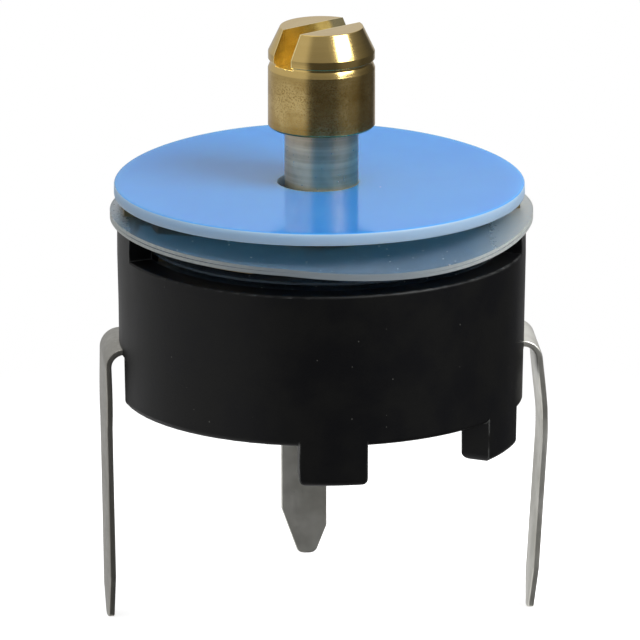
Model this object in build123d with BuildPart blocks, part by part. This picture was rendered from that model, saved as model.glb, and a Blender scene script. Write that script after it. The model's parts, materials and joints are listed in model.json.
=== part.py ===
"""Film-dielectric trimmer capacitor: black moulded housing, stacked plates and
films, blue cover disc, a steel spindle with a brass slotted head, three flat leads.
Frame: +Z up, origin on the spindle axis in the plane of the feet, X along the
line of the two stator leads, +Y towards the rotor lead. All sizes in millimetres."""

import os
from math import radians, sqrt, tan

from build123d import *

os.makedirs("parts", exist_ok=True)

# Housing
body_radius = 4.93
body_bottom = 1.00
rim_height = 4.74
wall_draft = 1.0
skirt_thickness = 0.78
cup_wall = 0.60
floor_bottom = 1.80
floor_top = 2.60
boss_wall = 0.78
boss_height = 0.02
bottom_round = 0.14
rim_round = 0.05
rim_band = 0.25
shoulder_half_angle = 21.0
flat_depth = 0.31
flat_margin = 0.20
foot_angles = (-91.0, -29.0, 89.0, 141.0)
foot_width = 1.64
foot_round = 0.20

# Flat leads, all stamped from one strip
strip_thickness = 0.15
lead_width = 2.08
pin_width = 1.11
rotor_strip_width = 1.11
lead_exit = 2.20
lead_spacing = 10.16
stator_line = 0.45
pin_pitch = 5.08
leg_standoff = 0.275
right_bow = 0.21
left_bow = -0.02
waist_height = 0.23
lead_length = 4.65
bend_radius = 0.40
rotor_bend_radius = 0.32
tab_bend_radius = 0.12
waist_radius = 8.0
taper_drop = 0.25
taper_height = 1.70
tab_width = 1.20
tab_setback = 0.485
tip_land = (-0.15, 0.28)
tip_shoulders = (1.13, 0.70)
tip_round = 0.18

# Plates and films
plate_clearance = 0.20
plate_thickness = 0.20
plate_count = 4
film_thickness = 0.06
running_gap = 0.10
rotor_chord = 1.75
slot_angle = 36.7
stator_chord = 1.00
stator_eye_margin = 0.25
film_clearance = 0.08
film_hole_clearance = 0.15
lug_side = 0.15
lug_margin = 0.10
top_lug_setback = 0.15
spacer_side = 0.15
spacer_margin = 0.18
slot_clearance = 0.01
groove_side = 0.10
groove_clearance = 0.03

# Clear films on the shoulders, bowed down between them
film_overhang = 0.17
film_bow = 0.17
film_lift = 0.07
top_film_gap = 0.03

# Cover disc
cover_overhang = 0.02
cover_thickness = 0.30
cover_hole_clearance = 0.13
cover_shift = 0.05
cover_rest = 5.99

# Spindle, and the rotor pieces and springs on it
shaft_radius = 0.89
shaft_flat_depth = 0.17
bearing_clearance = 0.03
collar_step = 0.51
collar_thickness = 0.20
collar_gap = 0.02
rotor_spacer_step = 0.41
clamp_step = 0.46
clamp_clearance = 0.07
contact_margin = 0.75
contact_clearance = 0.06
clip_thickness = 0.16
clip_width = 0.93
clip_opening = 0.90
clip_groove_depth = 0.27
spring_thickness = 0.06
spring_width = 0.53
spring_gap = 0.02
spring_rise = 0.10
spindle_tail = 0.23

# Adjuster head
head_radius = 1.29
head_bottom = 7.68
head_lip = 9.22
head_groove_width = 0.14
head_groove_depth = 0.06
head_top_radius = 1.00
head_top = 10.14
head_chamfer = 0.09
cone_setback = 0.01
cone_land = 0.19
driver_slot_width = 0.62
driver_slot_depth = 0.86
bore_end_wall = 0.33

# Sizes that follow from the ones above
cup_radius = body_radius - cup_wall
shoulder_span = 2.0 * body_radius
foot_radius = body_radius - (rim_height - rim_band) * tan(radians(wall_draft))
leg_position = body_radius + leg_standoff
rotor_leg_position = leg_position + stator_line
rotor_pin_position = pin_pitch + stator_line
strip_level = lead_exit + strip_thickness / 2.0
shoulder_level = lead_exit + strip_thickness
taper_start = lead_exit - taper_drop
taper_end = taper_start - taper_height
tab_position = body_radius - tab_setback
tab_inner = tab_position - strip_thickness / 2.0
tab_outer = tab_position + strip_thickness / 2.0
lug_width = tab_width + 2.0 * lug_side
lug_reach = tab_outer + lug_margin
top_lug_reach = body_radius - top_lug_setback
spacer_width = tab_width + 2.0 * spacer_side
spacer_inner = tab_inner - spacer_margin
groove_width = lug_width + 2.0 * groove_side
groove_reach = lug_reach + groove_clearance
flat_width = lead_width + 2.0 * flat_margin

bore_radius = shaft_radius + bearing_clearance
boss_radius = bore_radius + boss_wall
boss_top = floor_top + boss_height
shaft_flat = shaft_radius - shaft_flat_depth
collar_radius = shaft_radius + collar_step
rotor_spacer_radius = shaft_radius + rotor_spacer_step
clamp_radius = shaft_radius + clamp_step
clamp_top = cover_rest - clamp_clearance
plate_radius = cup_radius - plate_clearance
film_hole_radius = clamp_radius + film_hole_clearance
stator_eye_radius = film_hole_radius + stator_eye_margin
inner_film_radius = cup_radius - film_clearance
first_plate_height = boss_top + collar_gap + collar_thickness
plate_pitch = 2.0 * (plate_thickness + running_gap + film_thickness)
top_plate_top = first_plate_height + plate_pitch * (plate_count - 1) + plate_thickness

top_film_radius = body_radius + film_overhang
film_bottom = top_plate_top + film_lift
film_bow_radius = (top_film_radius**2 + film_bow**2) / (2.0 * film_bow)
shoulder_slope = tan(radians(shoulder_half_angle))
shoulder_stretch = 1.0 + shoulder_slope**2
shoulder_corner = sqrt(shoulder_stretch * cup_radius**2 - stator_line**2)
shoulder_inner_x = (shoulder_corner - stator_line * shoulder_slope) / shoulder_stretch
shoulder_rise = film_bow_radius - sqrt(film_bow_radius**2 - shoulder_inner_x**2)
shoulder_top = film_bottom + shoulder_rise
lug_rise = film_bow_radius - sqrt(film_bow_radius**2 - top_lug_reach**2)
top_stator_height = film_bottom + 2.0 * film_thickness + top_film_gap + lug_rise
cover_radius = body_radius + cover_overhang
cover_hole_radius = shaft_radius + cover_hole_clearance
cup_depth = cover_rest - floor_top

contact_level = floor_bottom - strip_thickness / 2.0
contact_bore = shaft_radius + contact_clearance
contact_radius = contact_bore + contact_margin
clip_top = floor_bottom - strip_thickness - spring_gap - spring_rise
clip_bottom = clip_top - clip_thickness
clip_groove_radius = shaft_radius - clip_groove_depth
clip_radius = clip_groove_radius + clip_width
spring_radius = bore_radius + spring_width
spindle_bottom = clip_bottom - spindle_tail
head_groove_top = head_lip + head_groove_width
head_groove_middle = head_lip + head_groove_width / 2.0
head_cone_radius = head_radius - cone_setback
driver_slot_floor = head_top - driver_slot_depth
spindle_top = driver_slot_floor - bore_end_wall


def finish(part, name):
    """Label one piece and write its STEP file."""
    part.label = name
    export_step(part, f"parts/{name}.step")


def wedge(reach, half_angle, mode):
    """A triangle from the axis out along X that opens by half_angle either side."""
    spread = reach * tan(radians(half_angle))
    Polygon((0, 0), (reach, -spread), (reach, spread), align=None, mode=mode)


def tab_slots():
    """Slots at both ends of the stator line that the lead tabs stand in."""
    with Locations((tab_position, stator_line), (-tab_position, stator_line)):
        Rectangle(
            strip_thickness + 2.0 * slot_clearance,
            tab_width + 2.0 * slot_clearance,
            mode=Mode.SUBTRACT,
        )


def keyed_shaft(mode):
    """The shaft's section where it carries the rotor: round with two flats."""
    with BuildSketch(mode=Mode.PRIVATE) as section:
        Circle(shaft_radius)
        Rectangle(2.0 * shaft_flat, 4.0 * shaft_radius, mode=Mode.INTERSECT)
    add(section.sketch, mode=mode)


def pin_outline(plane, top_points):
    """Outline of a flat lead seen square on: given top, narrow pin, skewed point."""
    half = pin_width / 2.0
    with BuildSketch(plane) as outline:
        with BuildLine():
            Polyline(
                *top_points,
                (half, -lead_length + tip_shoulders[1]),
                (tip_land[1], -lead_length),
                (tip_land[0], -lead_length),
                (-half, -lead_length + tip_shoulders[0]),
                close=True,
            )
        make_face()
        fillet(vertices().group_by(Axis.Y)[0], radius=tip_round)
    return outline.sketch


# Housing: one moulding with a cup above the floor, and a skirt and feet below it
with BuildPart() as base_housing:
    with BuildSketch(Plane.XZ):
        with BuildLine():
            Polyline(
                (0, 0),
                (foot_radius, 0),
                (body_radius, rim_height - rim_band),
                (body_radius, shoulder_top),
                (0, shoulder_top),
                close=True,
            )
        make_face()
    revolve(axis=Axis.Z)
    # The rim stands lower everywhere but at the two shoulders
    with BuildSketch(Plane.XY.offset(rim_height)):
        Circle(shoulder_span)
        for angle in (0, 180):
            with Locations(Location((0, stator_line, 0), (0, 0, angle))):
                wedge(shoulder_span, shoulder_half_angle, Mode.SUBTRACT)
    extrude(amount=cup_depth, mode=Mode.SUBTRACT)
    rim_arcs = edges().filter_by_position(Axis.Z, rim_height, rim_height)
    fillet(rim_arcs.filter_by(GeomType.CIRCLE), radius=rim_round)
    # Cup for the plates, with grooves in the shoulders for the tabs and lugs
    with BuildSketch(Plane.XY.offset(floor_top)):
        Circle(cup_radius)
        with Locations((0, stator_line)):
            Rectangle(2.0 * groove_reach, groove_width)
    extrude(amount=cup_depth, mode=Mode.SUBTRACT)
    # Bearing boss and bore
    with BuildSketch(Plane.XY.offset(floor_top)):
        Circle(boss_radius)
    extrude(amount=boss_top - floor_top)
    Hole(radius=bore_radius)
    # Room under the floor for the rotor contact
    with BuildSketch():
        Circle(body_radius - skirt_thickness)
    extrude(amount=floor_bottom, mode=Mode.SUBTRACT)
    # Pockets in the floor under the tabs, and slots through the wall for the leads
    with BuildSketch(Plane.XY.offset(lead_exit)):
        for side in (1, -1):
            with Locations((side * (tab_inner + groove_reach) / 2.0, stator_line)):
                Rectangle(groove_reach - tab_inner, groove_width)
    extrude(amount=floor_top - lead_exit, mode=Mode.SUBTRACT)
    with BuildSketch(Plane.XY.offset(lead_exit)):
        for side in (1, -1):
            with Locations((side * (tab_inner + shoulder_span) / 2.0, stator_line)):
                Rectangle(shoulder_span - tab_inner, lead_width)
    extrude(amount=strip_thickness, mode=Mode.SUBTRACT)
    # Flats under the stator leads
    with BuildSketch():
        with Locations((body_radius, stator_line), (-body_radius, stator_line)):
            Rectangle(2.0 * flat_depth, flat_width)
    extrude(amount=lead_exit, mode=Mode.SUBTRACT)
    # Slot through the skirt for the rotor lead
    with BuildSketch(Plane.XY.offset(floor_bottom)):
        with Locations((0, body_radius - skirt_thickness / 2.0)):
            Rectangle(rotor_strip_width, 2.0 * skirt_thickness)
    extrude(amount=-strip_thickness, mode=Mode.SUBTRACT)
    # The skirt is cut short everywhere but at the feet
    with BuildSketch():
        Circle(shoulder_span)
        for angle in foot_angles:
            with Locations(Location((0, 0, 0), (0, 0, angle))):
                with Locations((body_radius, 0)):
                    Rectangle(4.0 * skirt_thickness, foot_width, mode=Mode.SUBTRACT)
    extrude(amount=body_bottom, mode=Mode.SUBTRACT)
    fillet(faces().group_by(Axis.Z)[0].edges(), radius=foot_round)
    skirt_arcs = edges().filter_by_position(Axis.Z, body_bottom, body_bottom)
    outer_arcs = skirt_arcs.filter_by(GeomType.CIRCLE).group_by(SortBy.RADIUS)[-1]
    fillet(outer_arcs.filter_by(lambda arc: arc.length > lead_width), radius=bottom_round)
finish(base_housing.part, "base_housing")


# Stator leads: tab up through the plates, out through the wall, down to the board
def stator_lead(side, bow):
    """One stator lead; side is 1 for +X, and bow is how far its leg bulges outward."""
    with BuildPart() as lead:
        with BuildSketch(Plane.XZ.offset(-stator_line)):
            with BuildLine():
                FilletPolyline(
                    (side * tab_position, cover_rest),
                    (side * tab_position, strip_level),
                    (side * leg_position, strip_level),
                    (side * (leg_position + bow), waist_height),
                    (side * lead_spacing / 2.0, -lead_length),
                    radius=(tab_bend_radius, bend_radius, waist_radius),
                )
            trace(line_width=strip_thickness)
        extrude(amount=lead_width / 2.0, both=True)
        outline = pin_outline(
            Plane(origin=(0, stator_line, 0), x_dir=(0, 1, 0), z_dir=(1, 0, 0)),
            (
                (-pin_width / 2.0, taper_end),
                (-lead_width / 2.0, taper_start),
                (-lead_width / 2.0, shoulder_level),
                (-tab_width / 2.0, shoulder_level),
                (-tab_width / 2.0, cover_rest),
                (tab_width / 2.0, cover_rest),
                (tab_width / 2.0, shoulder_level),
                (lead_width / 2.0, shoulder_level),
                (lead_width / 2.0, taper_start),
                (pin_width / 2.0, taper_end),
            ),
        )
        extrude(outline, amount=2.0 * body_radius, both=True, mode=Mode.INTERSECT)
    return lead.part


finish(stator_lead(1, right_bow), "stator_lead_right")
finish(stator_lead(-1, left_bow), "stator_lead_left")

# Rotor lead: a ring under the floor round the spindle, out at +Y and down
with BuildPart() as rotor_lead:
    with BuildSketch(Plane.YZ):
        with BuildLine():
            FilletPolyline(
                (0, contact_level),
                (rotor_leg_position, contact_level),
                (rotor_pin_position, -lead_length),
                radius=rotor_bend_radius,
            )
        trace(line_width=strip_thickness)
    extrude(amount=rotor_strip_width / 2.0, both=True)
    outline = pin_outline(
        Plane.XZ,
        (
            (-rotor_strip_width / 2.0, floor_bottom),
            (rotor_strip_width / 2.0, floor_bottom),
        ),
    )
    extrude(outline, amount=2.0 * body_radius, both=True, mode=Mode.INTERSECT)
    with BuildSketch(Plane.XY.offset(floor_bottom - strip_thickness)):
        Circle(contact_radius)
    extrude(amount=strip_thickness)
    with BuildSketch(Plane.XY.offset(floor_bottom - strip_thickness)):
        Circle(contact_bore)
    extrude(amount=strip_thickness, mode=Mode.SUBTRACT)
finish(rotor_lead.part, "rotor_lead")


# Stator plates: half discs on the +Y side, with a lug at each end over the tabs
def stator_plate(height, reach):
    """One stator plate with its underside at height and its lugs out to reach."""
    with BuildPart() as plate:
        with BuildSketch(Plane.XY.offset(height)):
            Circle(plate_radius)
            with Locations((0, stator_line)):
                Rectangle(2.0 * reach, lug_width)
            with Locations((0, -stator_chord - body_radius)):
                Rectangle(2.0 * shoulder_span, 2.0 * body_radius, mode=Mode.SUBTRACT)
            Circle(stator_eye_radius, mode=Mode.SUBTRACT)
            tab_slots()
        extrude(amount=plate_thickness)
    return plate.part


# Films inside the cup: full discs with ears over the tabs
def inner_film(height):
    """One dielectric film of the cup with its underside at height."""
    with BuildPart() as film:
        with BuildSketch(Plane.XY.offset(height)):
            Circle(inner_film_radius)
            with Locations((0, stator_line)):
                Rectangle(2.0 * lug_reach, lug_width)
            Circle(film_hole_radius, mode=Mode.SUBTRACT)
            tab_slots()
        extrude(amount=film_thickness)
    return film.part


# Spacers between the stator plates, one round each tab
def stator_spacer(side, bottom, top):
    """One spacer from bottom to top; side is 1 for the +X tab."""
    with BuildPart() as spacer:
        with BuildSketch(Plane.XY.offset(bottom)):
            with Locations((side * (spacer_inner + lug_reach) / 2.0, stator_line)):
                Rectangle(lug_reach - spacer_inner, spacer_width)
            tab_slots()
        extrude(amount=top - bottom)
    return spacer.part


spacer_bottom = floor_top
for level in range(plate_count):
    rotor_top = first_plate_height + plate_pitch * level + plate_thickness
    low_film = rotor_top + running_gap
    plate_bottom = low_film + film_thickness
    plate_top = plate_bottom + plate_thickness
    is_top = level == plate_count - 1
    spacer_top = shoulder_top if is_top else low_film
    for side, side_name in ((1, "right"), (-1, "left")):
        spacer_name = f"stator_spacer_{side_name}_{level + 1}"
        finish(stator_spacer(side, spacer_bottom, spacer_top), spacer_name)
    spacer_bottom = plate_top + film_thickness
    if is_top:
        finish(stator_plate(top_stator_height, top_lug_reach), f"stator_plate_{level + 1}")
    else:
        finish(stator_plate(plate_bottom, lug_reach), f"stator_plate_{level + 1}")
        finish(inner_film(low_film), f"inner_film_{2 * level + 1}")
        finish(inner_film(plate_top), f"inner_film_{2 * level + 2}")

# Clear films on top of the housing: held up at the shoulders, bowed down between them
for order, name in enumerate(("clear_film_lower", "clear_film_upper")):
    low_point = film_bottom + order * (film_thickness + top_film_gap)
    with BuildPart() as clear_film:
        with BuildSketch(Plane.XZ):
            with Locations((0, low_point + film_bow_radius)):
                Circle(film_bow_radius)
                Circle(film_bow_radius - film_thickness, mode=Mode.SUBTRACT)
            with Locations((0, low_point)):
                Rectangle(2.0 * shoulder_span, 4.0 * plate_pitch, mode=Mode.INTERSECT)
        extrude(amount=shoulder_span, both=True)
        with BuildSketch():
            Circle(top_film_radius)
            Circle(film_hole_radius, mode=Mode.SUBTRACT)
            tab_slots()
        extrude(amount=cover_rest, mode=Mode.INTERSECT)
    finish(clear_film.part, name)

# Cover disc: lies loose on the ends of the two tabs, a little off the axis
with BuildPart() as cover_disc:
    with BuildSketch(Plane.XY.offset(cover_rest)):
        with Locations((-cover_shift, 0)):
            Circle(cover_radius)
            Circle(cover_hole_radius, mode=Mode.SUBTRACT)
    extrude(amount=cover_thickness)
finish(cover_disc.part, "cover_disc")

# Spindle: plain shaft below and above, two flats where the rotor is clamped
with BuildPart() as spindle:
    with BuildSketch(Plane.XY.offset(spindle_bottom)):
        Circle(shaft_radius)
    extrude(amount=spindle_top - spindle_bottom)
    with BuildSketch(Plane.XY.offset(first_plate_height)):
        Circle(2.0 * shaft_radius)
        keyed_shaft(Mode.SUBTRACT)
    extrude(amount=clamp_top - first_plate_height, mode=Mode.SUBTRACT)
    with BuildSketch(Plane.XY.offset(first_plate_height - collar_thickness)):
        Circle(collar_radius)
    extrude(amount=collar_thickness)
    with BuildSketch(Plane.XY.offset(clip_bottom)):
        Circle(2.0 * shaft_radius)
        Circle(clip_groove_radius, mode=Mode.SUBTRACT)
    extrude(amount=clip_thickness, mode=Mode.SUBTRACT)
    chamfer(faces().sort_by(Axis.Z)[0].edges(), length=head_chamfer)
finish(spindle.part, "spindle")

# Rotor plates: discs cut off along a chord parallel to the driver slot
for level in range(plate_count):
    plate_bottom = first_plate_height + plate_pitch * level
    with BuildPart() as rotor_plate:
        with BuildSketch(Plane.XY.offset(plate_bottom)):
            Circle(plate_radius)
            with Locations(Location((0, 0, 0), (0, 0, slot_angle))):
                with Locations((0, -rotor_chord - body_radius)):
                    Rectangle(2.0 * shoulder_span, 2.0 * body_radius, mode=Mode.SUBTRACT)
            keyed_shaft(Mode.SUBTRACT)
        extrude(amount=plate_thickness)
    finish(rotor_plate.part, f"rotor_plate_{level + 1}")

# Spacers between the rotor plates
for level in range(plate_count - 1):
    spacer_bottom = first_plate_height + plate_pitch * level + plate_thickness
    with BuildPart() as rotor_spacer:
        with BuildSketch(Plane.XY.offset(spacer_bottom)):
            Circle(rotor_spacer_radius)
            keyed_shaft(Mode.SUBTRACT)
        extrude(amount=plate_pitch - plate_thickness)
    finish(rotor_spacer.part, f"rotor_spacer_{level + 1}")

# Clamp collar: pressed down on the shaft over the top rotor plate
with BuildPart() as clamp_collar:
    with BuildSketch(Plane.XY.offset(top_plate_top)):
        Circle(clamp_radius)
        keyed_shaft(Mode.SUBTRACT)
    extrude(amount=clamp_top - top_plate_top)
finish(clamp_collar.part, "clamp_collar")

# Retaining clip in the groove at the lower end, open on one side
with BuildPart() as retaining_clip:
    with BuildSketch(Plane.XY.offset(clip_bottom)):
        Circle(clip_radius)
        Circle(clip_groove_radius, mode=Mode.SUBTRACT)
        with Locations((clip_radius, 0)):
            Rectangle(2.0 * clip_radius, clip_opening, mode=Mode.SUBTRACT)
    extrude(amount=clip_thickness)
finish(retaining_clip.part, "retaining_clip")

# Dished spring washer between the clip and the rotor lead's ring
with BuildPart() as spring_washer:
    with BuildSketch(Plane.XZ):
        with BuildLine():
            Polyline(
                (bore_radius, clip_top + spring_rise - spring_thickness),
                (spring_radius, clip_top),
                (spring_radius, clip_top + spring_thickness),
                (bore_radius, clip_top + spring_rise),
                close=True,
            )
        make_face()
    revolve(axis=Axis.Z)
finish(spring_washer.part, "spring_washer")

# Adjuster head: turned brass, pressed on the shaft, slotted for a driver
with BuildPart() as adjuster_head:
    with BuildSketch(Plane.XZ):
        with BuildLine():
            Polyline(
                (0, head_bottom),
                (head_radius, head_bottom),
                (head_radius, head_lip),
                (head_radius - head_groove_depth, head_groove_middle),
                (head_cone_radius, head_groove_top),
                (head_cone_radius, head_groove_top + cone_land),
                (head_top_radius, head_top),
                (0, head_top),
                close=True,
            )
        make_face()
        lip_corners = vertices().filter_by(
            lambda v: abs(v.X - head_radius) < cone_setback / 2.0
        )
        chamfer(lip_corners, length=head_chamfer)
    revolve(axis=Axis.Z)
    with BuildSketch(Plane.XY.offset(head_bottom)):
        Circle(shaft_radius)
    extrude(amount=spindle_top - head_bottom, mode=Mode.SUBTRACT)
    with BuildSketch(Plane.XY.offset(driver_slot_floor)):
        with Locations(Location((0, 0, 0), (0, 0, slot_angle))):
            Rectangle(4.0 * head_radius, driver_slot_width)
    extrude(amount=head_top - driver_slot_floor, mode=Mode.SUBTRACT)
finish(adjuster_head.part, "adjuster_head")
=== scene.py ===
import json
from math import cos, pi, radians, sin

import bmesh
import bpy
import numpy as np
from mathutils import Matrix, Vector


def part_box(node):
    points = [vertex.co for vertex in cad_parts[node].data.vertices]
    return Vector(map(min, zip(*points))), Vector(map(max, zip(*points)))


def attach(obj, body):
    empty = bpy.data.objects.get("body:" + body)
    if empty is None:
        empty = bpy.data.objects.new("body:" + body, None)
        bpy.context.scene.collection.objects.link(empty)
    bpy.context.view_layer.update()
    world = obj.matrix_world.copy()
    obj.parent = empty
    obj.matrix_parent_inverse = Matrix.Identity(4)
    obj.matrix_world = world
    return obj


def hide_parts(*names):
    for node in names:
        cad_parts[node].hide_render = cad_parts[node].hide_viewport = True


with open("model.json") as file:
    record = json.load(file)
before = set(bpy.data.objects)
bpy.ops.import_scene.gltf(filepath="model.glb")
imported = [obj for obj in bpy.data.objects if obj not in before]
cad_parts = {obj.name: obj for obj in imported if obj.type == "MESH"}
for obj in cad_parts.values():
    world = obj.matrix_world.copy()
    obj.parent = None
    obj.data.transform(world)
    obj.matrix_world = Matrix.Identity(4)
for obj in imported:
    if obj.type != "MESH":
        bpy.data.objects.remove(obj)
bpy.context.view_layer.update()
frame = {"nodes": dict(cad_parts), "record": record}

nodes = frame["nodes"]
mm = 0.001  # every size in the dictionaries below is in millimetres
print("frame loaded:", len(nodes), "pieces")


def boxOf(node):
    return [np.array(corner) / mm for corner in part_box(node)]


# every rounded corner is an arc tangent to both sides: its ends lie t = r / tan(half angle) from
# the corner, its centre r / sin(half angle) along the bisector, and it runs between them by angle
def roundCorners(corners, radii, steps=6):
    p = np.asarray(corners, float)
    r = np.asarray(radii, float)[:, None]
    back = np.roll(p, 1, 0) - p
    ahead = np.roll(p, -1, 0) - p
    back /= np.linalg.norm(back, axis=1, keepdims=True)
    ahead /= np.linalg.norm(ahead, axis=1, keepdims=True)
    half = np.arccos(np.clip((back * ahead).sum(1, keepdims=True), -1, 1)) / 2
    bisector = (back + ahead) / np.linalg.norm(back + ahead, axis=1, keepdims=True)
    centre = p + bisector * r / np.sin(half)
    start = p + back * r / np.tan(half) - centre
    end = p + ahead * r / np.tan(half) - centre
    turn = (pi - 2 * half)[:, :, None]
    share = np.linspace(0, 1, steps)[None, :, None]
    arc = np.sin((1 - share) * turn) * start[:, None] + np.sin(share * turn) * end[:, None]
    return (centre[:, None] + arc / np.sin(turn)).reshape(-1, 2)


# quads between neighbouring rows and columns of a grid of points, wrapped round where closed
def gridQuads(rows, columns, closedRows=False, closedColumns=True):
    i = np.arange(rows if closedRows else rows - 1)[:, None]
    j = np.arange(columns if closedColumns else columns - 1)[None, :]
    below, beside = (i + 1) % rows, (j + 1) % columns
    quad = [i * columns + j, i * columns + beside, below * columns + beside, below * columns + j]
    return np.stack([np.broadcast_to(q, (i.size, j.size)) for q in quad], -1).reshape(-1, 4)


# one piece from one or more grids: doubles at poles and seams are merged, normals turned outward,
# and edges that bend by more than the sharp angle stay crisp
def makePiece(name, grids, body, material, replaced, sharp):
    points = np.concatenate([g[0].reshape(-1, 3) for g in grids]) * mm
    starts = np.cumsum([0] + [g[0].size // 3 for g in grids[:-1]])
    faces = np.concatenate([g[1] + s for g, s in zip(grids, starts)])
    mesh = bpy.data.meshes.new(name)
    mesh.from_pydata(points.tolist(), [], faces.tolist())
    shell = bmesh.new()
    shell.from_mesh(mesh)
    bmesh.ops.remove_doubles(shell, verts=shell.verts, dist=1e-8)
    bmesh.ops.dissolve_degenerate(shell, edges=shell.edges, dist=1e-9)
    bmesh.ops.recalc_face_normals(shell, faces=shell.faces)
    shell.to_mesh(mesh)
    shell.free()
    mesh.shade_smooth()
    mesh.set_sharp_from_angle(angle=radians(sharp))
    mesh.materials.append(material)
    piece = bpy.data.objects.new(name, mesh)
    bpy.context.scene.collection.objects.link(piece)
    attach(piece, body)
    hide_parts(*replaced)
    print("made", name, "with", len(mesh.polygons), "faces")
    return piece


# a profile (radius, height) carried round the Z axis: x = r cos a, y = r sin a
def turned(profile, segments=160, closed=True):
    profile = np.asarray(profile, float)
    a = np.linspace(0, 2 * pi, segments, endpoint=False)[None, :]
    r, z = profile[:, :1], profile[:, 1:]
    points = np.stack([r * np.cos(a), r * np.sin(a), z + 0 * a], -1)
    return points, gridQuads(len(profile), segments, closedRows=closed)


# adds a node; a value goes into the input of that name or number, and a socket is linked to it
def add(tree, kind, values=None, **settings):
    node = tree.nodes.new(kind)
    for key, value in settings.items():
        setattr(node, key, value)
    for key, value in (values or {}).items():
        if isinstance(value, bpy.types.NodeSocket):
            tree.links.new(value, node.inputs[key])
        else:
            node.inputs[key].default_value = value
    return node


def addGroup(tree, group, values):
    return add(tree, "ShaderNodeGroup", values, node_tree=group).outputs


def newGroup(name, inputs, outputs):
    tree = bpy.data.node_groups.new(name, "ShaderNodeTree")
    for label, value in inputs.items():
        kind = "NodeSocketVector" if value is None else "NodeSocketFloat"
        socket = tree.interface.new_socket(name=label, in_out="INPUT", socket_type=kind)
        if value is not None:
            socket.default_value = value
    for label in outputs:
        tree.interface.new_socket(name=label, in_out="OUTPUT", socket_type="NodeSocketFloat")
    return tree, tree.nodes.new("NodeGroupInput").outputs, tree.nodes.new("NodeGroupOutput").inputs


def calc(tree, operation, a, b=0.0):
    return add(tree, "ShaderNodeMath", {0: a, 1: b}, operation=operation).outputs[0]


def remap(tree, value, low, high, start=0.0, end=1.0):
    return add(tree, "ShaderNodeMapRange", {0: value, 1: low, 2: high, 3: start, 4: end},
               interpolation_type="SMOOTHSTEP").outputs[0]


def mixColour(tree, factor, a, b):
    return add(tree, "ShaderNodeMix", {0: factor, 6: a, 7: b}, data_type="RGBA").outputs[2]


def mixValue(tree, factor, a, b):
    return add(tree, "ShaderNodeMix", {0: factor, 2: a, 3: b}, data_type="FLOAT").outputs[0]


# lays a colour over a tone where the mask is 1, as strongly as the share says
def layOver(tree, tone, paint, mask, share):
    return mixColour(tree, calc(tree, "MULTIPLY", mask, share), tone, paint)


def noise(tree, where, scale, detail=3.0, roughness=0.55):
    return add(tree, "ShaderNodeTexNoise", {"Vector": where, "Scale": scale, "Detail": detail,
                                            "Roughness": roughness}).outputs[0]


def colour(red, green, blue):
    return (red, green, blue, 1.0)


# object coordinates in millimetres
def millimetres(tree):
    place = add(tree, "ShaderNodeTexCoord").outputs["Object"]
    return add(tree, "ShaderNodeMapping", {0: place, 3: (1000, 1000, 1000)}).outputs[0]


# surface grain: Height is the fine surface, Tone drifts over several grains
grainGroup, into, out = newGroup(
    "surfaceGrain", {"Vector": None, "Grain": 9.0, "Drift": 0.8}, ["Height", "Tone"])
grainGroup.links.new(noise(grainGroup, into["Vector"], into["Grain"], 4.0, 0.6), out["Height"])
grainGroup.links.new(noise(grainGroup, into["Vector"], into["Drift"]), out["Tone"])

# turning lines: noise over (distance from the axis, height), hardly changing round the axis
turningGroup, into, out = newGroup(
    "turningLines", {"Vector": None, "Lines": 14.0, "Wander": 0.04}, ["Height", "Tone"])
axes = add(turningGroup, "ShaderNodeSeparateXYZ", {0: into["Vector"]}).outputs
level = add(turningGroup, "ShaderNodeCombineXYZ", {0: axes[0], 1: axes[1]}).outputs[0]
reach = add(turningGroup, "ShaderNodeVectorMath", {0: level}, operation="LENGTH").outputs["Value"]
along = add(turningGroup, "ShaderNodeCombineXYZ", {
    0: calc(turningGroup, "MULTIPLY", reach, into["Lines"]),
    1: calc(turningGroup, "MULTIPLY", axes[2], into["Lines"]),
    2: calc(turningGroup, "MULTIPLY", axes[0], into["Wander"])}).outputs[0]
turningGroup.links.new(noise(turningGroup, along, 1.0, 2.0, 0.6), out["Height"])
turningGroup.links.new(noise(turningGroup, along, 0.22, 2.0), out["Tone"])

# edge wear: how far the rounded normal leaves the true one, broken up by noise
wearGroup, into, out = newGroup(
    "edgeWear", {"Vector": None, "Width": 0.00004, "Breakup": 6.0}, ["Mask"])
soft = add(wearGroup, "ShaderNodeBevel", {"Radius": into["Width"]}, samples=4).outputs[0]
true = add(wearGroup, "ShaderNodeNewGeometry").outputs["Normal"]
agree = add(wearGroup, "ShaderNodeVectorMath", {0: soft, 1: true}, operation="DOT_PRODUCT")
edge = remap(wearGroup, agree.outputs["Value"], 0.995, 0.90)
broken = remap(wearGroup, noise(wearGroup, into["Vector"], into["Breakup"], 4.0), 0.30, 0.60)
wearGroup.links.new(calc(wearGroup, "MULTIPLY", edge, broken), out["Mask"])

# dust: a few cells of a Voronoi pattern hold a speck of uneven size
dustGroup, into, out = newGroup(
    "dustSpecks", {"Vector": None, "Density": 4.0, "Share": 0.2, "Size": 0.12}, ["Mask"])
cells = add(dustGroup, "ShaderNodeTexVoronoi", {"Vector": into["Vector"], "Scale": into["Density"]})
chosen = add(dustGroup, "ShaderNodeSeparateColor", {0: cells.outputs["Color"]}).outputs
size = calc(dustGroup, "MULTIPLY", chosen[1], into["Size"])
speck = calc(dustGroup, "LESS_THAN", cells.outputs["Distance"], size)
present = calc(dustGroup, "LESS_THAN", chosen[0], into["Share"])
dustGroup.links.new(calc(dustGroup, "MULTIPLY", speck, present), out["Mask"])
print("shared effects ready")


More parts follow.
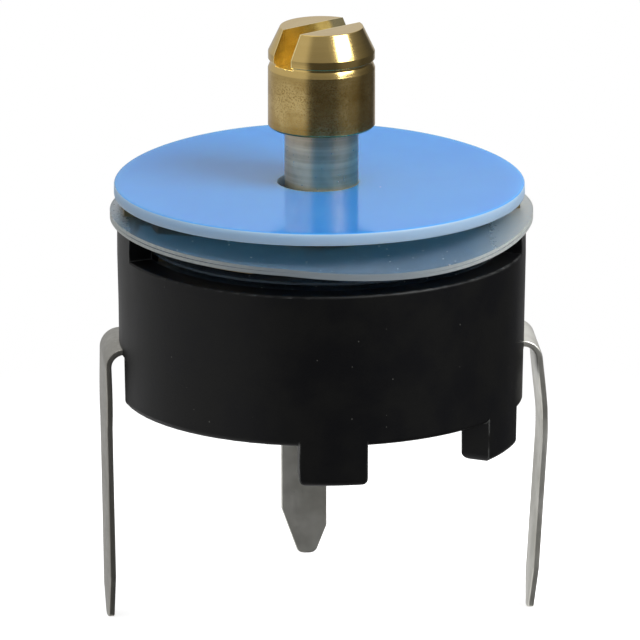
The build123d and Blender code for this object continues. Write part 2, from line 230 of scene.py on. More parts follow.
def newMaterial(name, **constants):
    made = bpy.data.materials.new(name)
    made.use_nodes = True
    tree = made.node_tree
    shader = tree.nodes["Principled BSDF"]
    for key, value in constants.items():
        shader.inputs[key.replace("_", " ")].default_value = value
    return made, tree, shader


def setBump(tree, shader, height, distance, strength):
    bump = add(tree, "ShaderNodeBump", {"Height": height, "Distance": distance,
                                        "Strength": strength})
    tree.links.new(bump.outputs[0], shader.inputs["Normal"])


# moulded housing: near black, slightly mottled, matt; paler along its edges for wear and as a
# painted highlight on the rounded rim
housingLook = {"dark": colour(0.0030, 0.0031, 0.0039), "light": colour(0.0048, 0.0048, 0.0047),
               "wornAndHighlight": colour(0.15, 0.155, 0.15), "wornShare": 0.8,
               "dust": colour(0.11, 0.11, 0.10), "dustShare": 0.5, "roughness": (0.43, 0.47),
               "grain": {"Grain": 17.0, "Drift": 0.9}, "wear": {"Width": 0.00006, "Breakup": 2.2},
               "specks": {"Density": 6.0, "Share": 0.10, "Size": 0.13},
               "bump": {"distance": 0.000005, "strength": 0.6}}
housingBlack, tree, shader = newMaterial("housingBlack", IOR=1.27)
look = housingLook
where = millimetres(tree)
grain = addGroup(tree, grainGroup, {"Vector": where, **look["grain"]})
wear = addGroup(tree, wearGroup, {"Vector": where, **look["wear"]})
dust = addGroup(tree, dustGroup, {"Vector": where, **look["specks"]})
tone = mixColour(tree, remap(tree, grain["Tone"], 0.35, 0.65), look["dark"], look["light"])
# painted highlight and wear: a pale colour laid along the edges, also standing in for light caught
# by the rim
tone = layOver(tree, tone, look["wornAndHighlight"], wear["Mask"], look["wornShare"])
tone = layOver(tree, tone, look["dust"], dust["Mask"], look["dustShare"])
tree.links.new(tone, shader.inputs["Base Color"])
tree.links.new(remap(tree, grain["Tone"], 0.3, 0.7, *look["roughness"]), shader.inputs["Roughness"])
setBump(tree, shader, grain["Height"], **look["bump"])

# cover disc: blue upper face, milky cut edge and a paler bluish underside, its colour raised as
# painted light that stands in for the light shining through the disc
coverLook = {"face": colour(0.026, 0.250, 0.690), "faceDeep": colour(0.022, 0.235, 0.670),
             "edge": colour(0.27, 0.37, 0.50), "under": colour(0.50, 0.66, 0.90),
             "dust": colour(0.50, 0.58, 0.70), "dustShare": 0.5, "roughness": (0.07, 0.13),
             "milkyDull": 0.35, "topFrom": (0.55, 0.90), "glowingUnderFrom": (-0.40, -0.80),
             "grain": {"Grain": 5.0, "Drift": 0.35},
             "specks": {"Density": 2.2, "Share": 0.08, "Size": 0.09},
             "bump": {"distance": 0.000002, "strength": 0.25}}
coverBlue, tree, shader = newMaterial(
    "coverBlue", IOR=1.50, Subsurface_Weight=0.8, Subsurface_Scale=0.0010,
    Subsurface_Radius=(0.7, 0.9, 1.0))
look = coverLook
where = millimetres(tree)
grain = addGroup(tree, grainGroup, {"Vector": where, **look["grain"]})
dust = addGroup(tree, dustGroup, {"Vector": where, **look["specks"]})
facing = add(tree, "ShaderNodeSeparateXYZ",
             {0: add(tree, "ShaderNodeNewGeometry").outputs["Normal"]}).outputs[2]
onTop = remap(tree, facing, *look["topFrom"])
below = remap(tree, facing, *look["glowingUnderFrom"])
tone = mixColour(tree, remap(tree, grain["Tone"], 0.35, 0.65), look["faceDeep"], look["face"])
tone = layOver(tree, tone, look["dust"], dust["Mask"], look["dustShare"])
# painted light: the underside is given a paler, brighter colour than the upper face
milkyEdgeAndGlowingUnder = mixColour(tree, below, look["edge"], look["under"])
tree.links.new(mixColour(tree, onTop, milkyEdgeAndGlowingUnder, tone), shader.inputs["Base Color"])
gloss = remap(tree, grain["Tone"], 0.3, 0.7, *look["roughness"])
dull = calc(tree, "MULTIPLY", calc(tree, "SUBTRACT", 1.0, onTop), look["milkyDull"])
tree.links.new(calc(tree, "ADD", gloss, dull), shader.inputs["Roughness"])
setBump(tree, shader, grain["Height"], **look["bump"])

# clear film: slightly milky, tinted blue as painted reflection of the blue cover disc above;
# paler towards both ends as painted light where it leaves the disc's shade, and dusty at its right
# end
filmLook = {"discBlueClean": colour(0.42, 0.56, 0.70), "discBlueCloudy": colour(0.47, 0.60, 0.73),
            "dust": colour(0.92, 0.93, 0.90), "dustShare": 0.95, "dustDull": 0.4,
            "dustyAndLitRight": (3.0, 5.0), "litLeft": (-4.2, -5.0), "litLeftShare": 0.6, "haze": (0.08, 0.14),
            "grain": {"Grain": 7.0, "Drift": 0.6}, "layer": {"Grain": 9.0, "Drift": 3.0},
            "specks": {"Density": 7.0, "Share": 0.16, "Size": 0.20},
            "bump": {"distance": 0.000002, "strength": 0.3}}
clearFilm, tree, shader = newMaterial("clearFilm", IOR=1.50, Transmission_Weight=0.84)
look = filmLook
where = millimetres(tree)
grain = addGroup(tree, grainGroup, {"Vector": where, **look["grain"]})
along = add(tree, "ShaderNodeSeparateXYZ", {0: where}).outputs[0]
# painted light at the ends: out from under the cover disc the film is paler; the right end also
# holds dust
atRight = remap(tree, along, *look["dustyAndLitRight"])
leftPaintedLight = remap(tree, along, *look["litLeft"], 0.0, look["litLeftShare"])
dustyAndLitEnds = calc(tree, "MAXIMUM", atRight, leftPaintedLight)
few = addGroup(tree, dustGroup, {"Vector": where, **look["specks"]})
many = addGroup(tree, grainGroup, {"Vector": where, **look["layer"]})
layer = remap(tree, many["Height"], 0.30, 0.62, 0.65, 1.0)
dust = calc(tree, "MAXIMUM", few["Mask"], calc(tree, "MULTIPLY", layer, dustyAndLitEnds))
# painted reflection: the base colour's blue stands in for the cover disc's blue light
tone = mixColour(tree, remap(tree, grain["Tone"], 0.35, 0.65), look["discBlueClean"], look["discBlueCloudy"])
tone = layOver(tree, tone, look["dust"], dust, look["dustShare"])
tree.links.new(tone, shader.inputs["Base Color"])
haze = remap(tree, grain["Tone"], 0.3, 0.7, *look["haze"])
tree.links.new(calc(tree, "ADD", haze, calc(tree, "MULTIPLY", dust, look["dustDull"])),
               shader.inputs["Roughness"])
setBump(tree, shader, grain["Height"], **look["bump"])

# the film's cut edge: duller, darker in the middle and paler towards both ends as painted light,
# where the ends stand clear of the cover disc and housing
filmEdgeLook = {"middle": colour(0.24, 0.28, 0.31), "pale": colour(0.60, 0.63, 0.60),
                "paleFrom": (1.2, 4.6), "roughness": (0.30, 0.50),
                "grain": {"Grain": 12.0, "Drift": 0.9}}
filmEdge, tree, shader = newMaterial("filmEdge", IOR=1.46, Transmission_Weight=0.35)
look = filmEdgeLook
where = millimetres(tree)
grain = addGroup(tree, grainGroup, {"Vector": where, **look["grain"]})
along = add(tree, "ShaderNodeSeparateXYZ", {0: where}).outputs[0]
# painted light: paler towards both ends, darker in the middle
ends = remap(tree, calc(tree, "ABSOLUTE", along), *look["paleFrom"], 0.05, 1.0)
ends = calc(tree, "MULTIPLY", ends, remap(tree, grain["Height"], 0.3, 0.7, 0.6, 1.0))
tree.links.new(mixColour(tree, ends, look["middle"], look["pale"]), shader.inputs["Base Color"])
tree.links.new(remap(tree, grain["Height"], 0.2, 0.8, *look["roughness"]),
               shader.inputs["Roughness"])


# turned metal: colour and height follow the turning lines, worn and duller in places; where the
# look names a slot, it also gets dark specks, a freshly cut upper end, and slot walls painted
# bright as painted light for the light bounced between the jaws
def turnedMetal(name, look):
    made, tree, shader = newMaterial(name, Metallic=1.0)
    where = millimetres(tree)
    cuts = addGroup(tree, turningGroup, {"Vector": where, "Lines": look["lines"]})
    grain = addGroup(tree, grainGroup, {"Vector": where, **look["grain"]})
    wear = addGroup(tree, wearGroup, {"Vector": where, **look["wear"]})
    tone = mixColour(tree, remap(tree, grain["Tone"], 0.3, 0.7), look["deep"], look["pale"])
    dull = remap(tree, grain["Height"], 0.25, 0.75, *look["roughness"])
    if "slotAngle" in look:
        height = add(tree, "ShaderNodeSeparateXYZ", {0: where}).outputs[2]
        fresh = remap(tree, height, *look["freshFrom"])
        heading = radians(look["slotAngle"])
        off = add(tree, "ShaderNodeVectorMath", {0: where, 1: (-sin(heading), cos(heading), 0)},
                  operation="DOT_PRODUCT").outputs["Value"]
        off = calc(tree, "ABSOLUTE", off)  # distance from the middle of the slot
        inside = remap(tree, off, *look["slotHalf"])
        above = calc(tree, "GREATER_THAN", height, look["slotFrom"])
        speckle = remap(tree, grain["Height"], 0.50, 0.40, 0.0, look["speckle"])
        tone = mixColour(tree, speckle, tone, look["deep"])
        tone = mixColour(tree, fresh, tone, look["fresh"])
        # painted light: a bright colour on the slot's walls and floor stands in for light bounced
        # between the jaws
        tone = layOver(tree, tone, look["slotWallLight"], above, inside)
        shine = calc(tree, "SUBTRACT", 1.0, calc(tree, "MULTIPLY", fresh, look["freshShine"]))
        dull = calc(tree, "MULTIPLY", dull, shine)
    lines = remap(tree, cuts["Tone"], 0.4, 0.7, 0.0, look["lineShare"])
    tone = mixColour(tree, lines, tone, look["line"])
    tone = layOver(tree, tone, look["pale"], wear["Mask"], look["wornShare"])
    tree.links.new(tone, shader.inputs["Base Color"])
    tree.links.new(dull, shader.inputs["Roughness"])
    fine = calc(tree, "MULTIPLY", grain["Height"], look["grainShare"])
    setBump(tree, shader, calc(tree, "ADD", cuts["Height"], fine), **look["bump"])
    return made


brassLook = {"pale": colour(0.68, 0.51, 0.215), "deep": colour(0.42, 0.27, 0.08), "speckle": 0.9,
             "fresh": colour(0.60, 0.43, 0.155), "freshFrom": (8.95, 9.25), "freshShine": 0.25,
             "slotWallLight": colour(0.98, 0.84, 0.46), "slotAngle": 36.7, "slotHalf": (0.34, 0.32),
             "slotFrom": 9.275, "line": colour(0.68, 0.51, 0.215), "lineShare": 0.3, "lines": 15.0,
             "grain": {"Grain": 24.0, "Drift": 1.6}, "grainShare": 0.06,
             "wear": {"Width": 0.00003, "Breakup": 3.0}, "wornShare": 0.5,
             "roughness": (0.17, 0.26), "bump": {"distance": 0.0000018, "strength": 0.8}}
steelLook = {"pale": colour(0.76, 0.56, 0.34), "deep": colour(0.58, 0.43, 0.26),
             "line": colour(0.95, 0.76, 0.50), "lineShare": 0.6, "lines": 26.0,
             "grain": {"Grain": 9.0, "Drift": 1.6}, "grainShare": 0.06,
             "wear": {"Width": 0.00003, "Breakup": 3.0}, "wornShare": 0.5,
             "roughness": (0.27, 0.34), "bump": {"distance": 0.0000035, "strength": 0.8}}
headBrass = turnedMetal("headBrass", brassLook)
spindleSteel = turnedMetal("spindleSteel", steelLook)


# flat stamped metal: mottled, with fine scratches drawn out along one direction; where the look
# asks for it, a darker colour lies on the left side of the part as painted shade, dimming the left
# lead
def stampedMetal(name, look):
    made, tree, shader = newMaterial(name, Metallic=look["metal"])
    where = millimetres(tree)
    drawn = add(tree, "ShaderNodeMapping", {0: where, 3: look["stretch"]}).outputs[0]
    scratch = addGroup(tree, grainGroup, {"Vector": drawn, "Grain": 10.0, "Drift": 1.2})
    mottle = addGroup(tree, grainGroup, {"Vector": where, "Grain": 6.0, "Drift": 0.9})
    wear = addGroup(tree, wearGroup, {"Vector": where, "Width": 0.00003, "Breakup": 6.0})
    tone = mixColour(tree, remap(tree, mottle["Tone"], 0.3, 0.7), look["deep"], look["pale"])
    # painted shade: a dark colour over the left side makes the left lead look less lit
    if "paintedShade" in look:
        across = add(tree, "ShaderNodeSeparateXYZ", {0: where}).outputs[0]
        leftPaintedLight = remap(tree, across, *look["paintedShadeFrom"])
        tone = layOver(tree, tone, look["paintedShade"], leftPaintedLight, look["paintedShadeShare"])
    scratches = remap(tree, scratch["Height"], 0.5, 0.8)
    tone = layOver(tree, tone, look["pale"], scratches, 0.2)
    tone = layOver(tree, tone, look["pale"], wear["Mask"], 0.4)
    tree.links.new(tone, shader.inputs["Base Color"])
    tree.links.new(remap(tree, mottle["Height"], 0.25, 0.75, *look["roughness"]),
                   shader.inputs["Roughness"])
    setBump(tree, shader, scratch["Height"], look["depth"], 0.6)
    return made


stripLook = {"pale": colour(0.90, 0.89, 0.83), "deep": colour(0.62, 0.61, 0.55), "metal": 0.92,
             "paintedShade": colour(0.20, 0.19, 0.165), "paintedShadeShare": 0.8, "paintedShadeFrom": (-1.0, -4.0),
             "roughness": (0.32, 0.46), "stretch": (1.0, 1.0, 0.12), "depth": 0.000004}
# painted shade: the plates' brass is much darker than brass, for the shade inside the housing
shadedPlateLook = {"pale": colour(0.46, 0.37, 0.22), "deep": colour(0.28, 0.21, 0.11), "metal": 1.0,
             "roughness": (0.34, 0.50), "stretch": (0.15, 1.0, 1.0), "depth": 0.000002}
springLook = {"pale": colour(0.64, 0.64, 0.63), "deep": colour(0.50, 0.50, 0.50), "metal": 1.0,
              "roughness": (0.25, 0.42), "stretch": (0.2, 1.0, 1.0), "depth": 0.000002}
tinnedStrip = stampedMetal("tinnedStrip", stripLook)
shadedPlateBrass = stampedMetal("shadedPlateBrass", shadedPlateLook)
springSteel = stampedMetal("springSteel", springLook)

slotMaterials = {"housing_black": housingBlack, "tinned_strip": tinnedStrip,
                 "clear_film": clearFilm, "cover_blue": coverBlue, "spindle_steel": spindleSteel,
                 "spring_steel": springSteel, "head_brass": headBrass, "plate_brass": shadedPlateBrass}
for part in frame["record"]["subparts"]:
    for slot in nodes[part["node"]].material_slots:
        slot.material = slotMaterials[part["material_slot"]]
print("materials ready")

# adjuster head: a body turned in one, with two jaws standing on the slot's floor
headShape = {"radius": 1.29, "footChamfer": 0.045, "lipFoot": 9.13, "groove": 1.23,
             "slotFloor": 9.28, "coneFoot": 9.36, "coneRadius": 1.285, "land": 0.18,
             "topRadius": 1.00, "undercut": 9.335, "boreRadius": 0.89, "boreEnd": 8.95,
             "slotWidth": 0.62, "slotAngle": brassLook["slotAngle"], "edgeRound": 0.025}
h = headShape
crisp = 0.001  # radius of a corner that stays sharp
low, high = boxOf("adjuster_head")
bodyProfile = roundCorners(
    [(0.02, h["boreEnd"]), (h["boreRadius"], h["boreEnd"]), (h["boreRadius"], low[2]),
     (h["radius"] - h["footChamfer"], low[2]), (h["radius"], low[2] + h["footChamfer"]),
     (h["radius"], h["lipFoot"]), (h["groove"], h["slotFloor"]), (0.02, h["slotFloor"])],
    [crisp, 0.01, 0.01, 0.02, 0.02, 0.035, 0.004, crisp], steps=6)
bodyProfile = np.concatenate([[(0.0, h["boreEnd"])], bodyProfile[6:-6], [(0.0, h["slotFloor"])]])


# a jaw's section at height z is the circle of radius R(z) beyond a chord at half the slot's
# width: the arc runs over angles -f to f with cos f = half width / R, the chord joins its ends
def jaw(side):
    outline = roundCorners(
        [(0.0, h["slotFloor"]), (h["groove"], h["slotFloor"]), (h["groove"], h["undercut"]),
         (h["coneRadius"], h["coneFoot"]),
         (h["coneRadius"], h["coneFoot"] + h["land"]), (h["topRadius"], high[2]), (0.0, high[2])],
        [crisp, crisp, 0.005, 0.012, 0.03, h["edgeRound"], crisp], steps=6)[6:-6]
    radius, height = outline[:, :1], outline[:, 1:]
    half = h["slotWidth"] / 2
    t = np.linspace(-1, 1, 61)[None, :]
    spread = np.arccos(half / radius)
    heading = radians(h["slotAngle"]) + side * pi / 2
    outward = np.array([cos(heading), sin(heading)])
    across = np.array([-sin(heading), cos(heading)])
    arc = ((radius * np.cos(spread * t))[..., None] * outward
           + (radius * np.sin(spread * t))[..., None] * across)
    chord = half * outward + (radius * np.sin(spread) * t)[..., None] * across
    outer = np.concatenate([arc, (height + 0 * t)[..., None]], -1)
    inner = np.concatenate([chord, (height + 0 * t)[..., None]], -1)
    share = np.linspace(0, 1, 15)[:, None, None]
    caps = [outer[k] * (1 - share) + inner[k] * share for k in (0, -1)]
    return [(sheet, gridQuads(*sheet.shape[:2], closedColumns=False))
            for sheet in (outer, inner, *caps)]


makePiece("adjusterHead", [turned(bodyProfile, 192, closed=False), *jaw(1), *jaw(-1)],
          "rotor", headBrass, ["adjuster_head"], sharp=28)

# spindle: turned rod, with x held within the flats where the rotor is clamped
spindleShape = {"radius": 0.89, "chamfer": 0.09, "collar": 1.40, "flat": 0.72, "flatStart": 2.84,
                "flatEnd": 5.92, "collarThickness": 0.20, "clipGroove": 0.62, "clipStart": 1.37,
                "clipEnd": 1.53}
s = spindleShape
low, high = boxOf("spindle")
collarFoot = s["flatStart"] - s["collarThickness"]
rod = np.array([
    (0.0, low[2]), (s["radius"] - s["chamfer"], low[2]), (s["radius"], low[2] + s["chamfer"]),
    (s["radius"], s["clipStart"]), (s["clipGroove"], s["clipStart"]),
    (s["clipGroove"], s["clipEnd"]), (s["radius"], s["clipEnd"]), (s["radius"], collarFoot),
    (s["collar"], collarFoot), (s["collar"], s["flatStart"]), (s["radius"], s["flatStart"]),
    (s["radius"], s["flatStart"] + 1e-4), (s["radius"], s["flatEnd"] - 1e-4),
    (s["radius"], s["flatEnd"]), (s["radius"], high[2]), (0.0, high[2])])
rodPoints, rodFaces = turned(rod, 160, closed=False)
clamped = (rod[:, 1] > s["flatStart"]) & (rod[:, 1] < s["flatEnd"])
rodPoints[clamped, :, 0] = np.clip(rodPoints[clamped, :, 0], -s["flat"], s["flat"])
makePiece("turnedSpindle", [(rodPoints, rodFaces)], "rotor", spindleSteel,
          ["spindle"], sharp=30)

# cover disc: a ring with softly rounded rims, its hole a little off its middle
coverShape = {"hole": 0.985, "holeShift": -0.08, "edgeRound": 0.05, "holeRound": 0.012,
              "backLift": 0.18}
c = coverShape
low, high = boxOf("cover_disc")
middle, outer = (low[0] + high[0]) / 2, (high[0] - low[0]) / 2
ringCorners = [(c["hole"], low[2]), (outer, low[2]), (outer, high[2]), (c["hole"], high[2])]
section = roundCorners(ringCorners, [c["holeRound"], c["edgeRound"], c["edgeRound"],
                                     c["holeRound"]], steps=7)
spans = np.linspace(0, 1, 40)[:, None]
under, over = section[6:8], section[20:22]  # the flat runs between the rounded rims
section = np.concatenate([section[:7], under[0] + (under[1] - under[0]) * spans, section[7:21],
                          over[0] + (over[1] - over[0]) * spans, section[21:]])
discPoints, discFaces = turned(section, 256)
# warped up behind: lift = backLift (y / outer)^2 where y > 0, none in front
discPoints[..., 2] += c["backLift"] * np.clip(discPoints[..., 1] / outer, 0, None) ** 2
outwards = (section[:, :1] - c["hole"]) / (outer - c["hole"])
discPoints[..., 0] += c["holeShift"] + (middle - c["holeShift"]) * outwards
makePiece("coverDisc", [(discPoints, discFaces)], "base", coverBlue,
          ["cover_disc"], sharp=60)

# clear films: bowed about the Y axis, height = low point + bow (x / edge)^2, less a rim that sags
# in front: frontSag rim^1.5 (-y / edge)^2 (1 + rightSag x) where y < 0, rim running 0 to 1 outside
# the rotor plates, which turn clear of it, and the last factor held between 0 and rightMost
filmShape = {"hole": 1.50, "edge": 5.10, "thickness": 0.082, "bow": 0.17, "ripple": 0.006,
             "frontSag": 0.085, "rightSag": 0.8, "rightMost": 4.5, "rimFrom": 4.15, "rings": 60,
             "slotPlace": 4.445, "statorLine": 0.45, "slotLength": 1.22, "slotWidth": 0.17,
             "slotMiddle": 5.5, "slotReach": 2.0}
f = filmShape
tabSlots = []
for side in (1, -1):
    corners = np.array([(x, y, z) for x in (-1, 1) for y in (-1, 1) for z in (-1, 1)], float)
    corners = corners * (f["slotWidth"] / 2, f["slotLength"] / 2, f["slotReach"])
    corners = (corners + (side * f["slotPlace"], f["statorLine"], f["slotMiddle"])) * mm
    mesh = bpy.data.meshes.new("tabSlot")
    mesh.from_pydata(corners.tolist(), [], [(0, 1, 3, 2), (4, 6, 7, 5), (0, 4, 5, 1),
                                            (2, 3, 7, 6), (0, 2, 6, 4), (1, 5, 7, 3)])
    cutter = bpy.data.objects.new("tabSlot", mesh)
    bpy.context.scene.collection.objects.link(cutter)
    tabSlots.append(cutter)


# both sides and both rims of a film are one closed grid over (section, angle)
def makeFilm(name, node, phase):
    low, high = boxOf(node)
    r = np.concatenate([np.linspace(f["hole"], f["edge"], f["rings"]),
                        np.linspace(f["edge"], f["hole"], f["rings"])])
    z = np.repeat([0.0, f["thickness"]], f["rings"])
    points, faces = turned(np.stack([r, z], 1), 288)
    x, y = points[..., 0], points[..., 1]
    points[..., 2] += low[2] + f["bow"] * (x / f["edge"]) ** 2
    rim = np.clip((np.hypot(x, y) - f["rimFrom"]) / (f["edge"] - f["rimFrom"]), 0, 1) ** 1.5
    forward = rim * np.clip(-y / f["edge"], 0, None) ** 2
    points[..., 2] -= f["frontSag"] * forward * np.clip(1 + f["rightSag"] * x, 0, f["rightMost"])
    # slight waves towards the rim: ripple (r / edge)^4 sin(3 angle + phase)
    waves = (np.hypot(x, y) / f["edge"]) ** 4 * np.sin(3 * np.arctan2(y, x) + phase)
    points[..., 2] += f["ripple"] * waves
    film = makePiece(name, [(points, faces)], "base", clearFilm, [node], sharp=60)
    for slot in tabSlots:
        film.modifiers.new("slot", "BOOLEAN").object = slot
    graph = bpy.context.evaluated_depsgraph_get()
    dressed = bpy.data.meshes.new_from_object(film.evaluated_get(graph))
    film.modifiers.clear()
    film.data = dressed
    dressed.materials.append(filmEdge)
    normals = np.zeros(len(dressed.polygons) * 3)
    dressed.polygons.foreach_get("normal", normals)
    upright = np.abs(normals.reshape(-1, 3)[:, 2]) < 0.5
    dressed.polygons.foreach_set("material_index", upright.astype(np.int32))


makeFilm("filmLower", "clear_film_lower", 0.4)
makeFilm("filmUpper", "clear_film_upper", 2.1)
for slot in tabSlots:
    bpy.data.objects.remove(slot)

# flat leads: a strip section with rounded edges carried along the bent centre line
stripShape = {"thickness": 0.15, "edgeRound": 0.035, "tabWidth": 1.20, "wideWidth": 2.08,
              "pinWidth": 1.12, "shoulder": 2.35, "taperTop": 1.95, "taperEnd": 0.25,
              "tip": -4.65, "landLeft": -0.15, "landRight": 0.28, "shoulderLeft": 1.13,
              "shoulderRight": 0.70, "tipRound": 0.18, "waistRound": 0.05}
p = stripShape


# centre line of a bent strip: corners become arcs, then points are spread evenly by length
# and closer towards the end, where spacing follows the cosine of a quarter turn
def bentLine(corners, radii, spacing=0.02):
    line = roundCorners(corners, [crisp, *radii, crisp], steps=24)[23:-24]
    line = np.concatenate([[corners[0]], line[1:], [corners[-1]]])
    run = np.concatenate([[0], np.cumsum(np.linalg.norm(np.diff(line, axis=0), axis=1))])
    even = np.linspace(0, run[-1], int(run[-1] / spacing))[:-12]
    last = run[-1] - (run[-1] - even[-1]) * np.cos(np.linspace(0, pi / 2, 24))
    even = np.unique(np.concatenate([even, last]))
    return np.stack([np.interp(even, run, line[:, k]) for k in (0, 1)], 1)


# the pin's point seen square on, as its two edges at each height
half = p["pinWidth"] / 2
pinCorners = [(-half, p["taperEnd"]), (-half, p["tip"] + p["shoulderLeft"]),
              (p["landLeft"], p["tip"]), (p["landRight"], p["tip"]),
              (half, p["tip"] + p["shoulderRight"]), (half, p["taperEnd"])]
pinOutline = roundCorners(pinCorners, [crisp, p["waistRound"], p["tipRound"], p["tipRound"],
                                       p["waistRound"], crisp], steps=12)
lowest = len(pinOutline) // 2
pinLeft, pinRight = pinOutline[:lowest][::-1], pinOutline[lowest:]


def stripEdges(z, hasTab):
    left = np.interp(z, pinLeft[:, 1], pinLeft[:, 0])
    right = np.interp(z, pinRight[:, 1], pinRight[:, 0])
    if hasTab:
        levels = [p["taperEnd"], p["taperTop"], p["shoulder"] - 0.005, p["shoulder"] + 0.005]
        halves = [p["pinWidth"] / 2, p["wideWidth"] / 2, p["wideWidth"] / 2, p["tabWidth"] / 2]
        wide = np.interp(z, levels, halves)
        left = np.where(z > p["taperEnd"], -wide, left)
        right = np.where(z > p["taperEnd"], wide, right)
    return left, right


# a section's corners are edge centre -+ (half size - round) + round (cos, sin), and the section
# is turned about its middle by the twist t: x = n cos t - w sin t, y = n sin t + w cos t
def stripSurface(line, left, right, twist=0.0):
    along = np.gradient(line, axis=0)
    along /= np.linalg.norm(along, axis=1, keepdims=True)
    normal = np.stack([-along[:, 1], along[:, 0]], 1)
    corner = np.repeat(np.arange(4), 5)
    a = corner * pi / 2 + np.tile(np.linspace(0, pi / 2, 5), 4)
    e = p["edgeRound"]
    atRight, atFront = np.isin(corner, (0, 3)), np.isin(corner, (0, 1))
    wide = np.where(atRight[None, :], right[:, None] - e, left[:, None] + e) + e * np.cos(a)
    thick = (np.where(atFront, 1, -1) * (p["thickness"] / 2 - e) + e * np.sin(a))[None, :]
    t = np.broadcast_to(twist, len(line))[:, None]
    n = normal[:, :1] * thick
    x = line[:, :1] + n * np.cos(t) - wide * np.sin(t)
    y = n * np.sin(t) + wide * np.cos(t)
    z = line[:, 1:] + normal[:, 1:] * thick
    points = np.stack([x, y, z], -1)
    grids = [(points, gridQuads(len(line), 20))]
    for row in (0, -1):  # both ends are closed across the section
        ends = np.stack([points[row, :10], points[row, 19:9:-1]])
        grids.append((ends, gridQuads(2, 10, closedColumns=False)))
    return grids


# a stator lead comes up through the films as a tab, out through the wall and down to the board;
# its pin is turned a little about its own axis, by an even share from the bend to the waist
leadShape = {"tab": f["slotPlace"], "statorLine": f["statorLine"], "tabTop": 5.99, "leg": 5.205,
             "level": 2.275, "waist": 0.16, "tabBend": 0.12, "legBend": 0.40, "waistBend": 7.0}
rightLead = {"side": 1, "bow": 0.215, "tip": 5.13, "twist": 3.0}
leftLead = {"side": -1, "bow": -0.02, "tip": 5.10, "twist": 4.8}


def statorLead(name, node, lead):
    q = leadShape
    corners = [(q["tab"], q["tabTop"]), (q["tab"], q["level"]), (q["leg"], q["level"]),
               (q["leg"] + lead["bow"], q["waist"]), (lead["tip"], p["tip"])]
    line = bentLine([(lead["side"] * x, z) for x, z in corners],
                    [q["tabBend"], q["legBend"], q["waistBend"]])
    onLeg = np.abs(line[:, 0]) > q["leg"] - 0.2
    turn = np.where(onLeg, np.clip((q["level"] - line[:, 1]) / (q["level"] - q["waist"]), 0, 1), 0)
    twist = radians(lead["twist"]) * turn * turn * (3 - 2 * turn)
    grids = stripSurface(line, *stripEdges(line[:, 1], True), twist)
    grids = [(points + (0, q["statorLine"], 0), faces) for points, faces in grids]
    makePiece(name, grids, "base", tinnedStrip, [node], sharp=50)


statorLead("leadRight", "stator_lead_right", rightLead)
statorLead("leadLeft", "stator_lead_left", leftLead)

# rotor lead: the same strip along the Y axis, from the contact ring under the floor
rotorShape = {"start": 1.60, "leg": 5.655, "tip": 5.53, "level": 1.725, "bend": 0.32,
              "ringInner": 0.95, "ringOuter": 1.70, "ringHalf": 0.074, "ringRound": 0.03}
r = rotorShape
line = bentLine([(r["start"], r["level"]), (r["leg"], r["level"]), (r["tip"], p["tip"])],
                [r["bend"]])
strip = [(np.stack([g[..., 1], g[..., 0], g[..., 2]], -1), faces)
         for g, faces in stripSurface(line, *stripEdges(line[:, 1], False))]
under, over = r["level"] - r["ringHalf"], r["level"] + r["ringHalf"]
ring = roundCorners([(r["ringInner"], under), (r["ringOuter"], under), (r["ringOuter"], over),
                     (r["ringInner"], over)], [r["ringRound"]] * 4, steps=5)
makePiece("leadRotor", [turned(ring, 128), *strip], "base", tinnedStrip,
          ["rotor_lead"], sharp=50)

# floor: a pale disc that fades out towards its rim and keeps only a soft shadow
stageLook = {"radius": 26.0, "level": -4.65, "shade": 0.72, "fadeFrom": 10.0, "fadeTo": 24.0}
floorPoints, floorFaces = turned([(0.0, stageLook["level"]),
                                  (stageLook["radius"], stageLook["level"])], 96, closed=False)
mesh = bpy.data.meshes.new("floor")
mesh.from_pydata((floorPoints.reshape(-1, 3) * mm).tolist(), [], floorFaces[:, ::-1].tolist())
floor = bpy.data.objects.new("floor", mesh)
bpy.context.scene.collection.objects.link(floor)
floor.visible_glossy = False

floorWhite = bpy.data.materials.new("floorWhite")
floorWhite.use_nodes = True
tree = floorWhite.node_tree
tree.nodes.remove(tree.nodes["Principled BSDF"])
away = add(tree, "ShaderNodeVectorMath", {0: millimetres(tree)}, operation="LENGTH")
fade = remap(tree, away.outputs["Value"], stageLook["fadeFrom"], stageLook["fadeTo"])
paper = add(tree, "ShaderNodeBsdfDiffuse", {"Color": colour(0.9, 0.9, 0.9)}).outputs[0]
glow = add(tree, "ShaderNodeEmission", {"Strength": stageLook["shade"]}).outputs[0]
lit = add(tree, "ShaderNodeAddShader", {0: paper, 1: glow}).outputs[0]
seen = add(tree, "ShaderNodeLightPath").outputs["Is Camera Ray"]
surface = add(tree, "ShaderNodeMixShader", {0: seen, 1: paper, 2: lit}).outputs[0]
under = add(tree, "ShaderNodeNewGeometry").outputs["Backfacing"]
fade = calc(tree, "MAXIMUM", fade, under)  # seen from below the floor is left clear
clear = add(tree, "ShaderNodeBsdfTransparent").outputs[0]
faded = add(tree, "ShaderNodeMixShader", {0: fade, 1: surface, 2: clear}).outputs[0]
tree.links.new(faded, tree.nodes["Material Output"].inputs[0])
mesh.materials.append(floorWhite)

# white backdrop for the camera; metal mirrors a bright side behind and to the left, with white
# paper low down, and a darker room towards the right and in front that grows lighter overhead;
# a range of strengths goes with the span of heights that it is spread over
roomLook = {"ambient": 0.50, "bright": (0.46, 0.74), "brightSpan": (-0.35, 0.30),
            "paper": 0.55, "paperSpan": (-0.22, -0.42), "dark": (0.085, 0.42),
            "darkSpan": (0.05, 0.80), "darkAzimuth": 58.0, "darkEdge": (-0.20, 0.08),
            "streak": 0.13, "streakEdge": (0.80, 0.96)}


# azimuth is measured from -Y towards +X, for the camera as for the lights
def headingTo(azimuth, elevation):
    a, e = radians(azimuth), radians(elevation)
    return Vector((sin(a) * cos(e), -cos(a) * cos(e), sin(e)))


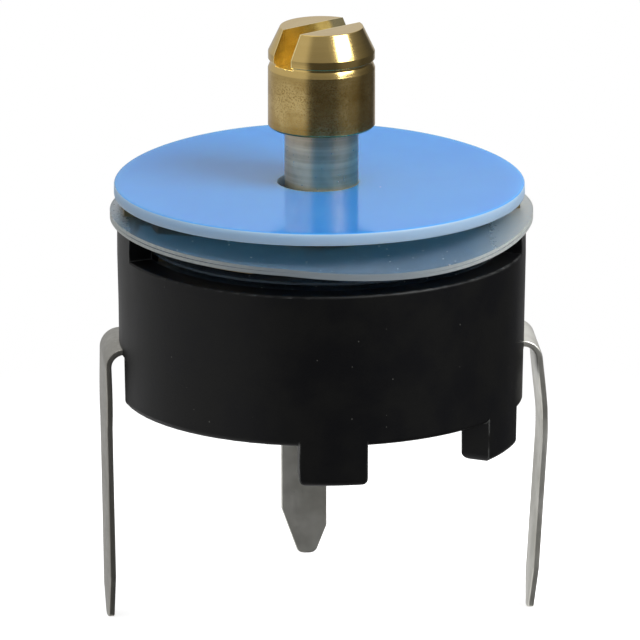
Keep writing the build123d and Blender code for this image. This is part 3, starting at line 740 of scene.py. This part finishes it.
world = bpy.data.worlds.new("studio")
world.use_nodes = True
bpy.context.scene.world = world
tree = world.node_tree
background = tree.nodes["Background"]
direction = add(tree, "ShaderNodeTexCoord").outputs["Generated"]
darkWay = headingTo(roomLook["darkAzimuth"], 0)
towards = add(tree, "ShaderNodeVectorMath", {0: direction, 1: darkWay},
              operation="DOT_PRODUCT").outputs["Value"]
height = add(tree, "ShaderNodeSeparateXYZ", {0: direction}).outputs[2]
bright = remap(tree, height, *roomLook["brightSpan"], *roomLook["bright"])
paper = remap(tree, height, *roomLook["paperSpan"], 0.0, roomLook["paper"])
bright = calc(tree, "ADD", bright, paper)
dark = remap(tree, height, *roomLook["darkSpan"], *roomLook["dark"])
# a paler strip stands in the middle of the dark side
streak = remap(tree, towards, *roomLook["streakEdge"], 0.0, roomLook["streak"])
dark = calc(tree, "ADD", dark, streak)
inDark = remap(tree, towards, *roomLook["darkEdge"])
mirrored = mixValue(tree, inDark, bright, dark)
ray = add(tree, "ShaderNodeLightPath").outputs
strength = mixValue(tree, ray["Is Glossy Ray"], roomLook["ambient"], mirrored)
plain = calc(tree, "MAXIMUM", ray["Is Camera Ray"], ray["Is Transmission Ray"])
strength = mixValue(tree, plain, strength, 1.0)
tree.links.new(strength, background.inputs["Strength"])
background.inputs["Color"].default_value = colour(1, 1, 1)


# sets a lamp or camera at its distance from the point that it looks at
def setUp(name, data, place):
    thing = bpy.data.objects.new(name, data)
    bpy.context.scene.collection.objects.link(thing)
    back = headingTo(place["azimuth"], place["elevation"])
    thing.location = Vector(place["aim"]) * mm + back * place["distance"] * mm
    thing.rotation_mode = "QUATERNION"
    thing.rotation_quaternion = (-back).to_track_quat("-Z", "Y")
    return thing


keyLight = {"azimuth": 56, "elevation": 42, "distance": 120, "width": 70, "height": 55,
            "power": 0.145, "aim": (0, 0, 5)}
topLight = {"azimuth": -60, "elevation": 75, "distance": 140, "width": 90, "height": 90,
            "power": 0.035, "aim": (0, 0, 5)}


def softLight(name, look):
    lamp = bpy.data.lights.new(name, "AREA")
    lamp.shape, lamp.size, lamp.size_y = "RECTANGLE", look["width"] * mm, look["height"] * mm
    lamp.energy = look["power"]
    setUp(name, lamp, look)


softLight("keyLight", keyLight)
softLight("topLight", topLight)

cameraPlace = {"azimuth": -4.5, "elevation": 15.4, "distance": 300.0, "lens": 698.6,
               "aim": (-0.036, 0.0, 2.82)}
lens = bpy.data.cameras.new("camera")
lens.lens, lens.sensor_width = cameraPlace["lens"], 36.0
lens.clip_start, lens.clip_end = 0.01, 10.0
bpy.context.scene.camera = setUp("camera", lens, cameraPlace)
bpy.context.scene.view_settings.view_transform = "Standard"
print("floor, lights and camera ready")
